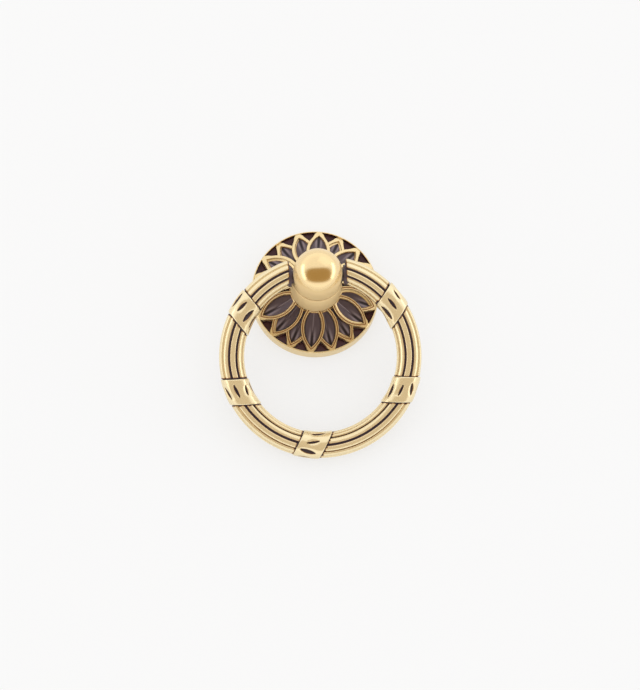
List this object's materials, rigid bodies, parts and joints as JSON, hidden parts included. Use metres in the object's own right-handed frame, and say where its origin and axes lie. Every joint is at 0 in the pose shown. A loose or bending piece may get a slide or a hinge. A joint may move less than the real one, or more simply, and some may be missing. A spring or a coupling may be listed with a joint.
{
  "type": "ring pull handle",
  "caption": "Drop ring pull for a drawer or cabinet door: a reeded ring with ribbon ties swings in a ball-ended post on a petalled rosette, held from behind by a screw.",
  "frame": {"origin": "mouth of the tapped hole, in the middle of the rosette's back face", "axes": "+Z out of the drawer front along the post, +X along the ring's pivots, the ring lies towards -Y"},
  "size_m": [0.0478, 0.0557, 0.0247],
  "materials": {
    "rosette_brass": "patinated, rubbed bright on the petals' outlines",
    "post_brass": "polished",
    "ring_brass": "polished, dark patina in the grooves"
  },
  "bodies": {
    "mount": {"rosette": "rosette_brass", "ball_post": "post_brass"},
    "ring": {"ring": "ring_brass"}
  },
  "joints": [
    {"name": "ring_swing", "type": "hinge", "parent": "mount", "child": "ring", "pos_m": [0, 0, 0.0164], "axis": [-1, 0, 0], "range_deg": [0, 218.4]}
  ]
}
